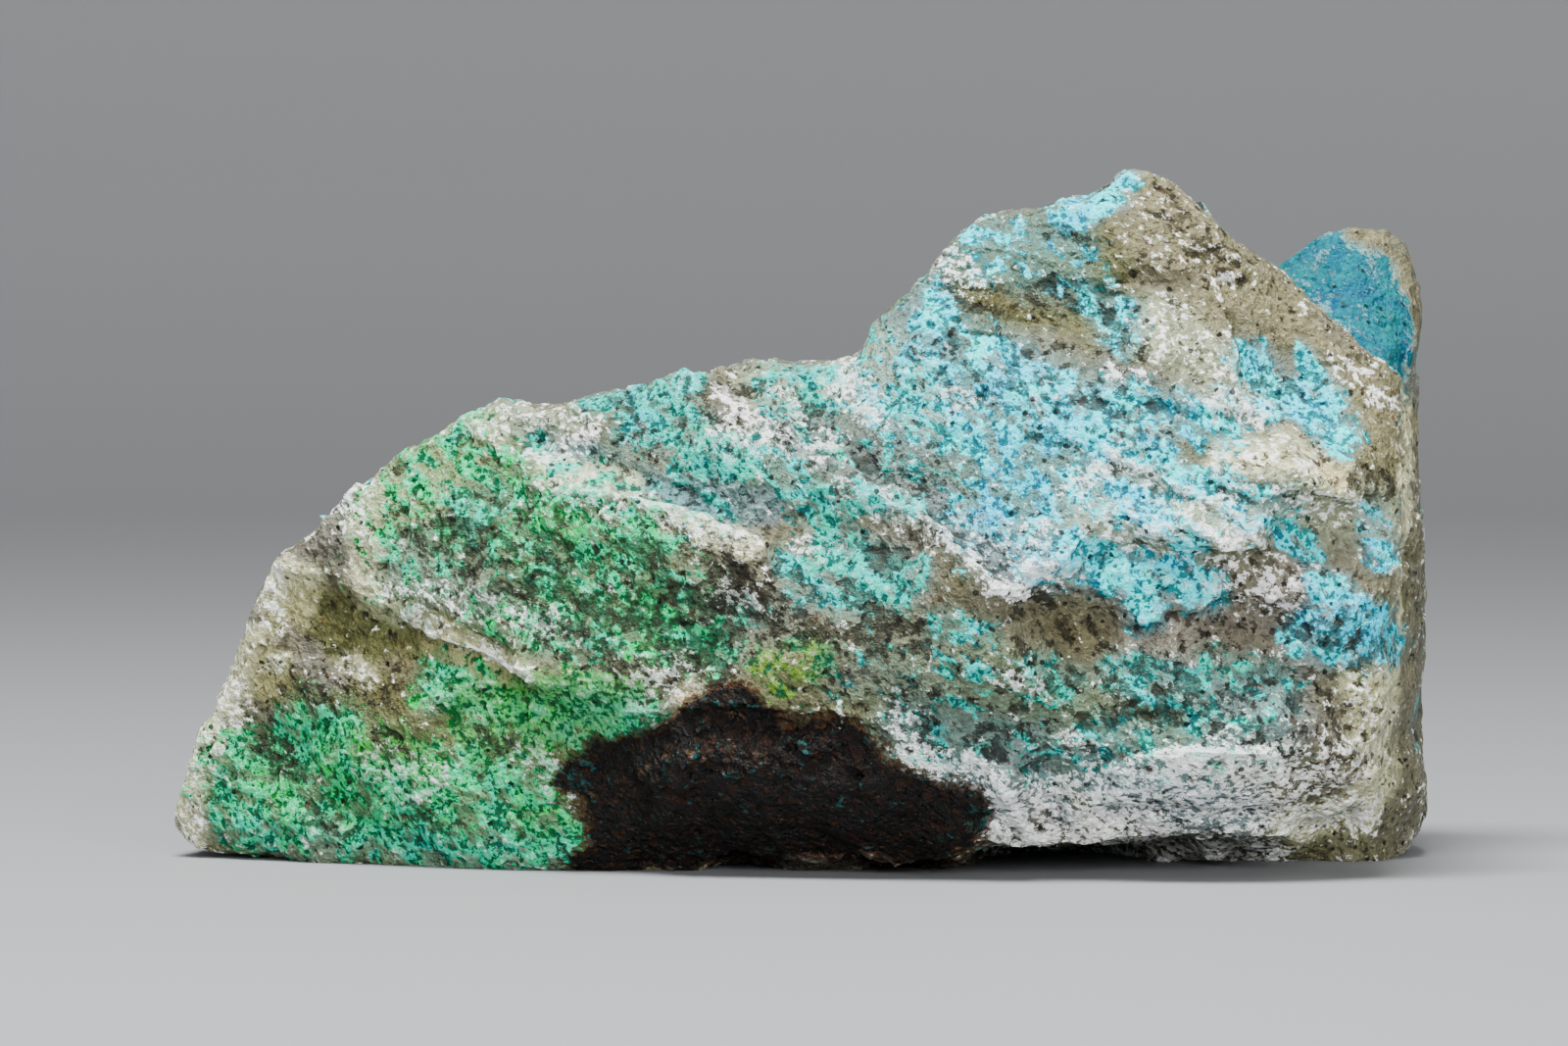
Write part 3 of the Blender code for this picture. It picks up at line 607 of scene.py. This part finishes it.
def shape_surface(item):
    """Breaks the smooth sides up into chips and grains."""
    mesh = item.data
    co, no = points_of(mesh)
    no = evened(mesh, no, 3)
    no /= np.linalg.norm(no, axis=1)[:, None]
    base = co[:, 2] < 0.02
    height = chips(co, LARGE_CHIP, 3.0, 0.10)
    height += chips(co, SMALL_CHIP, 17.0, 0.16)
    height += 0.05 * field(co, 0.8, 31.0)
    height += front_relief(co, no)
    height[base] *= 0.2
    jitter = 0.035 * wobble(co, 0.13, 23.0)
    jitter[base] *= 0.2
    co = co + no * height[:, None] + jitter
    co[:, 2] = np.maximum(co[:, 2], 0.0)
    mesh.vertices.foreach_set("co", co.ravel())
    mesh.update()


def layer_density(u, v, strokes):
    """How densely strokes cover each point."""
    density = np.zeros(u.shape)
    for dense, width, path in strokes:
        away = from_line(u, v, path)
        density = np.maximum(density, dense * soft(-away, -1.8 * width, -0.2 * width))
    return density


def paint(item):
    """Works out what lies where on the stone and stores it on the mesh."""
    mesh = item.data
    co, no = points_of(mesh)
    # how far each point stands out of its surroundings or sinks into them; the material paints raised
    # edges lighter and hollows darker from this, as painted light and shade
    smooth_far = evened(mesh, co, 15)
    smooth_near = evened(mesh, co, 3)
    bulge_far = np.einsum("ij,ij->i", co - smooth_far, no)
    bulge_near = np.einsum("ij,ij->i", co - smooth_near, no)
    u, v = seen_at(co)
    wide = wobble(co, 2.6, 5.0)
    fine = wobble(co, 0.8, 9.0)
    u = u + 9.0 * wide[:, 0] + 7.0 * fine[:, 0]
    v = v + 9.0 * wide[:, 2] + 7.0 * fine[:, 2]
    front = front_share(co, evened(mesh, no, 19))

    rock = np.tile(np.array(linear("quartz")), (len(co), 1))
    hue = field(co, 5.0, 61.0)
    for name, low, high in (("olive", 0.0, 0.5), ("mauve", -0.5, 0.0)):
        share = soft(hue, low, high) if name == "olive" else 1.0 - soft(hue, low, high)
        rock += (np.array(linear(name)) - rock) * (0.5 * share)[:, None]
    for name, strength, width, path in TINTS:
        share = strength * soft(-from_line(u, v, path), -1.5 * width, -0.4 * width) * front
        rock += (np.array(linear(name)) - rock) * share[:, None]

    dense = {name: layer_density(u, v, strokes) * front for name, strokes in SPREAD.items()}
    behind = soft(co[:, 1] + MIDDLE[1], 10.0, 13.0) * soft(u, 1270.0, 1290.0) * soft(-v, -440.0, -400.0)
    for name in dense:
        dense[name] *= 1.0 - behind
    bare = layer_density(u, v, LOBE_CAP)
    faces_front = soft(-no[:, 1], -0.3, 0.1)
    crusted = np.clip(1.0 - bare, 0.0, 1.0)
    dense["blue"] += layer_density(u, v, LOBE_BLUE) * (behind * faces_front) * crusted
    hidden = (1.0 - front) * (1.0 - behind)
    patch = field(co, 7.0, 83.0)
    ragged = field(co, 2.2, 19.0)
    dense["blue"] += hidden * 0.75 * soft(patch + 0.5 * ragged, 0.1, 0.6)
    dense["green"] += hidden * 0.6 * soft(-patch - 0.5 * ragged, 0.25, 0.7)
    dense["pores"] += hidden * 0.4 * soft(ragged, -0.3, 0.4)
    dense["frost"] += hidden * 0.4 * soft(-ragged, 0.0, 0.6)

    crusts = ("blue", "teal", "green", "moss")
    total = sum(dense[name] for name in crusts) + 1e-6
    crust = sum(dense[name][:, None] * np.array(linear(name)) for name in crusts) / total[:, None]
    deep = {"blue": "blue_deep", "teal": "teal_deep", "green": "green_deep", "moss": "green_deep"}
    lower = sum(dense[name][:, None] * np.array(linear(deep[name])) for name in crusts) / total[:, None]
    density = np.max([dense[name] for name in crusts], axis=0)
    rock += (crust - rock) * (0.36 * np.clip(density, 0.0, 1.0))[:, None]

    lobe = behind[:, None]
    crust += (np.array(linear("lobe")) - crust) * lobe
    lower += (np.array(linear("blue_deep")) - lower) * lobe
    # no painted light or shade from the relief on the lobe
    bulge_near *= 1.0 - behind
    bulge_far *= 1.0 - behind

    one = np.ones(len(co))
    store(mesh, "rock_tint", np.column_stack([rock, one]))
    store(mesh, "crust_tint", np.column_stack([crust, one]))
    store(mesh, "crust_deep", np.column_stack([lower, one]))
    store(mesh, "spread_a", np.column_stack([density, dense["pores"], dense["frost"], one]))
    # near and far carry the relief for the painted light and shade
    near = 0.5 + bulge_near / 0.11
    far = 0.5 + bulge_far / 0.5
    store(mesh, "spread_b", np.column_stack([dense["black"], near, far, one]))


def store(mesh, name, values):
    """Keeps four values for each point, for the material to read."""
    layer = mesh.color_attributes.new(name, "FLOAT_COLOR", "POINT")
    layer.data.foreach_set("color", np.clip(values, 0.0, 4.0).astype(np.float32).ravel())


# ---------------------------------------------------------------- materials

class Nodes:
    """Short ways to make and join shader nodes."""

    def __init__(self, material):
        material.use_nodes = True
        self.tree = material.node_tree
        self.shader = self.tree.nodes["Principled BSDF"]

    def new(self, kind, **sets):
        node = self.tree.nodes.new(kind)
        for key, value in sets.items():
            setattr(node, key, value)
        return node

    def join(self, source, target):
        self.tree.links.new(source, target)

    def feed(self, socket, value):
        if hasattr(value, "is_linked"):
            self.join(value, socket)
        else:
            socket.default_value = value

    def math(self, how, a, b=0.0, c=0.0, clamp=False):
        node = self.new("ShaderNodeMath", operation=how, use_clamp=clamp)
        self.feed(node.inputs[0], a)
        self.feed(node.inputs[1], b)
        self.feed(node.inputs[2], c)
        return node.outputs[0]

    def mix(self, share, a, b):
        node = self.new("ShaderNodeMix", data_type="RGBA")
        self.feed(node.inputs[0], share)
        self.feed(node.inputs[6], a if hasattr(a, "is_linked") else (*a, 1.0))
        self.feed(node.inputs[7], b if hasattr(b, "is_linked") else (*b, 1.0))
        return node.outputs[2]

    def step(self, value, low, high, to_low=0.0, to_high=1.0):
        node = self.new("ShaderNodeMapRange", interpolation_type="SMOOTHSTEP")
        self.feed(node.inputs[0], value)
        self.feed(node.inputs[1], low)
        self.feed(node.inputs[2], high)
        self.feed(node.inputs[3], to_low)
        self.feed(node.inputs[4], to_high)
        return node.outputs[0]

    def attribute(self, name):
        return self.new("ShaderNodeAttribute", attribute_name=name).outputs["Color"]

    def split(self, colour):
        node = self.new("ShaderNodeSeparateColor")
        self.join(colour, node.inputs[0])
        return node.outputs

    def place(self, stretch=(1.0, 1.0, 1.0), shift=0.0, turn=0.0):
        """Places on the stone in mm, turned about Y and then stretched."""
        where = self.new("ShaderNodeTexCoord").outputs["Object"]
        if turn:
            turned = self.new("ShaderNodeMapping")
            turned.inputs["Rotation"].default_value = (0.0, math.radians(-turn), 0.0)
            self.join(where, turned.inputs["Vector"])
            where = turned.outputs[0]
        node = self.new("ShaderNodeMapping")
        node.inputs["Scale"].default_value = tuple(1000.0 * s for s in stretch)
        node.inputs["Location"].default_value = (shift, shift, shift)
        self.join(where, node.inputs["Vector"])
        return node.outputs[0]

    def total(self, *terms, shift=0.0):
        """Adds up values, each times its share."""
        out = shift
        for share, value in terms:
            out = self.math("MULTIPLY_ADD", value, share, out)
        return out

    def patch(self, density, noise):
        """Ragged patches of a field from 0 to 1 that cover about this share of the stone."""
        return self.step(self.math("SUBTRACT", density, noise), -0.03, 0.04)

    def scaled(self, colour, value):
        node = self.new("ShaderNodeVectorMath", operation="SCALE")
        self.join(colour, node.inputs[0])
        self.feed(node.inputs["Scale"], value)
        return node.outputs[0]

    def cloud(self, where, scale, detail=3.0, rough=0.6):
        node = self.new("ShaderNodeTexNoise")
        self.join(where, node.inputs["Vector"])
        node.inputs["Scale"].default_value = scale
        node.inputs["Detail"].default_value = detail
        node.inputs["Roughness"].default_value = rough
        return node.outputs["Fac"]

    def cells(self, where, scale):
        node = self.new("ShaderNodeTexVoronoi")
        self.join(where, node.inputs["Vector"])
        node.inputs["Scale"].default_value = scale
        return node


def stone_material():
    """Bare quartz, crusts, frost, the black patch and specks, laid over each other, with painted light
    on raised edges and painted shade in hollows.
    """
    material = bpy.data.materials.new("quartz_with_crusts")
    n = Nodes(material)
    rock = n.attribute("rock_tint")
    crust = n.attribute("crust_tint")
    deep = n.attribute("crust_deep")
    dense, pores, frost = n.split(n.attribute("spread_a"))
    black, near, far = n.split(n.attribute("spread_b"))

    streaks = n.step(n.cloud(n.place((0.75, 1.0, 1.25), 3.0, 34.0), 1.25, 6.0, 0.66), 0.36, 0.64)
    flecks = n.step(n.cloud(n.place((0.85, 1.0, 1.15), 17.0, 30.0), 2.9, 4.0, 0.72), 0.35, 0.65)
    holes = n.step(n.cloud(n.place((0.85, 1.0, 1.15), 51.0, 30.0), 1.5, 5.0, 0.72), 0.35, 0.65)
    fine = n.step(n.cloud(n.place(shift=41.0), 4.6, 3.0, 0.65), 0.32, 0.68)
    grain = n.cells(n.place(), 3.6)
    first, second, third = n.split(grain.outputs["Color"])
    # how raised or sunken the surface is, for painted light on edges and painted shade in hollows
    relief = n.total((0.5, near), (0.3, far), shift=-0.4)

    # bare quartz: its grains differ a little, some are white frost and some are dark pores; it is
    # painted lighter on raised edges and darker in hollows as painted light and shade, and its pores
    # gather in hollows, partly as painted shade
    level = n.total((0.36, first), (0.42, fine), (0.24, streaks), (0.6, relief), shift=0.42)
    stone = n.scaled(rock, level)
    dark = n.patch(n.total((1.0, pores), (-0.7, relief), shift=0.05), holes)
    hole = n.mix(0.2, linear("pore"), n.scaled(rock, 0.4))
    stone = n.mix(n.math("MULTIPLY", dark, n.step(second, 0.0, 1.0, 0.7, 1.0)), stone, hole)

    # powdery crusts in ragged patches; their darker copy in hollows and their paler top on raised edges
    # are painted shade and painted light, mixed with the crusts' own uneven tone
    bar = n.total((0.86, streaks), (0.22, fine), (0.12, second), shift=-0.10)
    clear = n.math("SUBTRACT", 1.0, n.math("MULTIPLY", dark, 0.85))
    cover = n.math("MULTIPLY", n.patch(dense, bar), clear)
    tone = n.total((0.5, fine), (0.35, first), (0.9, relief), (0.15, streaks))
    pale = n.mix(0.14, crust, linear("frost"))
    powder = n.mix(n.step(tone, 0.50, 0.30), crust, deep)
    powder = n.mix(n.step(tone, 0.70, 0.94), powder, pale)
    turned = n.new("ShaderNodeHueSaturation")
    drift = n.cloud(n.place(shift=29.0), 0.42, 3.0, 0.6)
    n.join(n.total((0.16, drift), (0.03, second), shift=0.39), turned.inputs["Hue"])
    n.join(powder, turned.inputs["Color"])
    powder = turned.outputs[0]
    surface = n.mix(cover, stone, powder)

    # white frost on both, gathered partly onto raised edges as painted highlight
    light = n.patch(n.total((0.92, frost), (0.55, relief), shift=-0.02), flecks)
    light = n.math("MULTIPLY", light, n.total((0.35, first), (-0.45, cover), (-0.5, dark), shift=0.68))
    haze = n.mix(n.math("MULTIPLY", dense, 0.35, clamp=True), n.mix(0.14, linear("frost"), rock), crust)
    surface = n.mix(light, surface, haze)

    # the black-brown patch with its rusty rim
    blot = n.total((1.0, black), (0.40, streaks), (0.40, fine), shift=-0.4)
    rim = n.step(blot, 0.24, 0.36)
    core = n.step(blot, 0.48, 0.78)
    stain = n.mix(second, linear("rust"), linear("pore"))
    surface = n.mix(n.math("MULTIPLY", rim, 0.85), surface, stain)
    soot = n.mix(n.math("MULTIPLY", n.math("POWER", second, 4.0), 0.22), linear("black"), linear("rust"))
    soot = n.mix(n.math("MULTIPLY", light, 0.12), soot, linear("teal"))
    surface = n.mix(core, surface, soot)

    # small black specks
    speck = n.cells(n.place(shift=7.0), 1.4)
    chosen = n.step(n.split(speck.outputs["Color"])[2], 0.3, 0.35)
    dot = n.step(n.total((1.0, speck.outputs["Distance"]), (0.12, fine)), 0.24, 0.19)
    surface = n.mix(n.math("MULTIPLY", n.math("MULTIPLY", chosen, dot), 0.9), surface, linear("black"))

    n.join(surface, n.shader.inputs["Base Color"])
    gloss = n.step(third, 0.0, 1.0, 0.22, 0.6)
    rough = n.new("ShaderNodeMix", data_type="FLOAT")
    n.join(cover, rough.inputs[0])
    n.join(gloss, rough.inputs[2])
    rough.inputs[3].default_value = 0.85
    n.join(rough.outputs[0], n.shader.inputs["Roughness"])
    n.shader.inputs["Specular IOR Level"].default_value = 0.15

    bump = n.new("ShaderNodeBump")
    bump.inputs["Strength"].default_value = 0.8
    bump.inputs["Distance"].default_value = 0.00013
    n.join(n.total((1.0, fine), (-0.5, grain.outputs["Distance"])), bump.inputs["Height"])
    n.join(bump.outputs[0], n.shader.inputs["Normal"])
    return material


# ---------------------------------------------------------------- floor, light and camera

def plain_material(name, colour, roughness):
    material = bpy.data.materials.new(name)
    n = Nodes(material)
    n.shader.inputs["Base Color"].default_value = (*colour, 1.0)
    n.shader.inputs["Roughness"].default_value = roughness
    return material


def stage():
    """A round floor that curves up into a low wall all around."""
    body = bmesh.new()
    rings = []
    for reach, z in WALL:
        turns = [2.0 * math.pi * k / FLOOR_SIDES for k in range(FLOOR_SIDES)]
        rings.append([body.verts.new((reach * math.cos(t), reach * math.sin(t), z)) for t in turns])
    body.faces.new(rings[0])
    for inner, outer in zip(rings, rings[1:]):
        for k in range(FLOOR_SIDES):
            after = (k + 1) % FLOOR_SIDES
            body.faces.new((inner[k], outer[k], outer[after], inner[after]))
    mesh = bpy.data.meshes.new("floor")
    body.to_mesh(mesh)
    body.free()
    for face in mesh.polygons:
        face.use_smooth = True
    floor = bpy.data.objects.new("floor", mesh)
    bpy.context.scene.collection.objects.link(floor)
    mesh.materials.append(plain_material("pale_floor", (0.200, 0.207, 0.214), 0.7))


def lamp(name, place, aim, size, watts):
    data = bpy.data.lights.new(name, "AREA")
    data.shape = "RECTANGLE"
    data.size, data.size_y = size
    data.energy = watts
    item = bpy.data.objects.new(name, data)
    item.location = place
    item.rotation_euler = (Vector(aim) - Vector(place)).to_track_quat("-Z", "Y").to_euler()
    bpy.context.scene.collection.objects.link(item)


def sun(place, strength, spread):
    data = bpy.data.lights.new("sky", "SUN")
    data.energy = strength
    data.angle = math.radians(spread)
    item = bpy.data.objects.new("sky", data)
    item.location = place
    item.rotation_euler = (-Vector(place)).to_track_quat("-Z", "Y").to_euler()
    bpy.context.scene.collection.objects.link(item)


def lights():
    world = bpy.data.worlds.new("studio")
    bpy.context.scene.world = world
    world.use_nodes = True
    world.node_tree.nodes["Background"].inputs[0].default_value = (0.9, 0.92, 0.95, 1.0)
    world.node_tree.nodes["Background"].inputs[1].default_value = 0.25
    lamp("top", TOP_LAMP, (0.0, 0.0, 0.01), (0.16, 0.12), 3.9)
    sun(TOP_LAMP, 2.0, 30.0)
    lamp("front", (0.22, -0.95, 0.24), (0.0, 0.0, 0.012), (0.80, 0.25), 17.0)


def camera():
    data = bpy.data.cameras.new("camera")
    data.sensor_width = 36.0
    data.lens = EYE_POINTS / 1600.0 * 36.0
    data.clip_start = 0.01
    item = bpy.data.objects.new("camera", data)
    item.location = tuple((a - b) * MM for a, b in zip(EYE, MIDDLE))
    item.rotation_euler = (math.pi / 2.0 - math.atan((533.5 - LEVEL_ROW) / EYE_POINTS), 0.0, 0.0)
    bpy.context.scene.collection.objects.link(item)
    bpy.context.scene.camera = item


def build():
    stone = stone_surface()
    shape_surface(stone)
    paint(stone)
    co, _ = points_of(stone.data)
    stone.data.vertices.foreach_set("co", (co * MM).ravel())
    stone.data.update()
    stone.data.materials.clear()
    stone.data.materials.append(stone_material())
    for face in stone.data.polygons:
        face.use_smooth = False
    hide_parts("specimen_stone")
    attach(stone, "root")


build()
stage()
lights()
camera()
